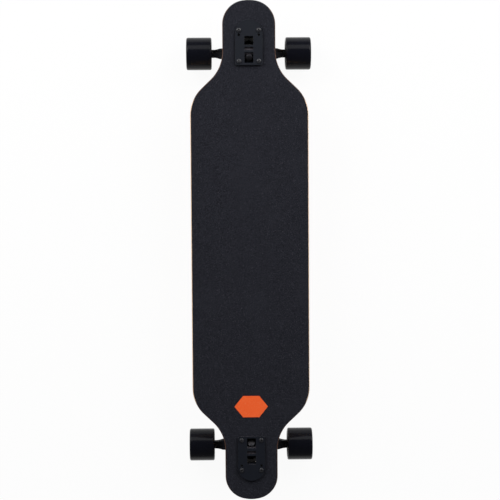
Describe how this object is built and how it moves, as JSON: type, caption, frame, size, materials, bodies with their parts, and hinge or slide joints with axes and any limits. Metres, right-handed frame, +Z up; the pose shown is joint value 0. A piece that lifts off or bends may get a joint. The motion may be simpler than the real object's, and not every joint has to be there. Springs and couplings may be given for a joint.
{
  "type": "longboard skateboard",
  "caption": "Drop-through longboard: cut-out concave maple deck with black grip tape, two reverse-kingpin trucks and wide black wheels on ball bearings.",
  "frame": {"origin": "on the ground, under the middle of the board", "axes": "+Y along the board to the nose, +X to the rider's right when facing the nose, +Z up"},
  "size_m": [0.261, 1.041, 0.1027],
  "materials": {
    "maple": "satin",
    "grip_black": "rough",
    "grip_orange": "rough",
    "black_casting": "satin",
    "black_steel": "satin",
    "zinc_steel": "satin",
    "axle_steel": "satin",
    "bushing_urethane": "satin",
    "pivot_urethane": "satin",
    "wheel_urethane": "satin",
    "core_plastic": "satin",
    "bearing_steel": "polished",
    "ball_steel": "polished",
    "shield_black": "matte"
  },
  "bodies": {
    "board": {"deck": "maple", "grip_tape": "grip_black", "grip_inlay": "grip_orange", "front_baseplate": "black_casting", "front_deck_bolts": "black_steel", "front_deck_nuts": "zinc_steel", "front_kingpin": "black_steel", "front_kingpin_nut": "zinc_steel", "front_cup_washers": "black_steel", "front_barrel_bushing": "bushing_urethane", "front_cone_bushing": "bushing_urethane", "front_pivot_cup": "pivot_urethane", "rear_baseplate": "black_casting", "rear_deck_bolts": "black_steel", "rear_deck_nuts": "zinc_steel", "rear_kingpin": "black_steel", "rear_kingpin_nut": "zinc_steel", "rear_cup_washers": "black_steel", "rear_barrel_bushing": "bushing_urethane", "rear_cone_bushing": "bushing_urethane", "rear_pivot_cup": "pivot_urethane"},
    "front_truck": {"front_hanger": "black_casting", "front_axle": "axle_steel", "front_axle_nuts": "zinc_steel", "front_speed_washers": "zinc_steel", "front_left_inner_rings": "bearing_steel", "front_left_spacer": "axle_steel", "front_right_inner_rings": "bearing_steel", "front_right_spacer": "axle_steel"},
    "rear_truck": {"rear_hanger": "black_casting", "rear_axle": "axle_steel", "rear_axle_nuts": "zinc_steel", "rear_speed_washers": "zinc_steel", "rear_left_inner_rings": "bearing_steel", "rear_left_spacer": "axle_steel", "rear_right_inner_rings": "bearing_steel", "rear_right_spacer": "axle_steel"},
    "front_left_wheel": {"front_left_tyre": "wheel_urethane", "front_left_core": "core_plastic", "front_left_outer_rings": "bearing_steel", "front_left_balls": "ball_steel", "front_left_shields": "shield_black"},
    "front_right_wheel": {"front_right_tyre": "wheel_urethane", "front_right_core": "core_plastic", "front_right_outer_rings": "bearing_steel", "front_right_balls": "ball_steel", "front_right_shields": "shield_black"},
    "rear_left_wheel": {"rear_left_tyre": "wheel_urethane", "rear_left_core": "core_plastic", "rear_left_outer_rings": "bearing_steel", "rear_left_balls": "ball_steel", "rear_left_shields": "shield_black"},
    "rear_right_wheel": {"rear_right_tyre": "wheel_urethane", "rear_right_core": "core_plastic", "rear_right_outer_rings": "bearing_steel", "rear_right_balls": "ball_steel", "rear_right_shields": "shield_black"}
  },
  "joints": [
    {"name": "front_steer", "type": "hinge", "parent": "board", "child": "front_truck", "pos_m": [0, 0.4297, 0.0653], "axis": [0, 0.7071, 0.7071], "range_deg": [-20, 20], "stiffness_Nm_per_rad": 40, "deforming": ["front_barrel_bushing", "front_cone_bushing"]},
    {"name": "rear_steer", "type": "hinge", "parent": "board", "child": "rear_truck", "pos_m": [0, -0.4297, 0.0653], "axis": [0, -0.7071, 0.7071], "range_deg": [-20, 20], "stiffness_Nm_per_rad": 40, "deforming": ["rear_barrel_bushing", "rear_cone_bushing"]},
    {"name": "front_left_spin", "type": "hinge", "parent": "front_truck", "child": "front_left_wheel", "pos_m": [-0.104, 0.415, 0.034], "axis": [1, 0, 0], "continuous": true},
    {"name": "front_right_spin", "type": "hinge", "parent": "front_truck", "child": "front_right_wheel", "pos_m": [0.104, 0.415, 0.034], "axis": [1, 0, 0], "continuous": true},
    {"name": "rear_left_spin", "type": "hinge", "parent": "rear_truck", "child": "rear_left_wheel", "pos_m": [-0.104, -0.415, 0.034], "axis": [1, 0, 0], "continuous": true},
    {"name": "rear_right_spin", "type": "hinge", "parent": "rear_truck", "child": "rear_right_wheel", "pos_m": [0.104, -0.415, 0.034], "axis": [1, 0, 0], "continuous": true}
  ]
}
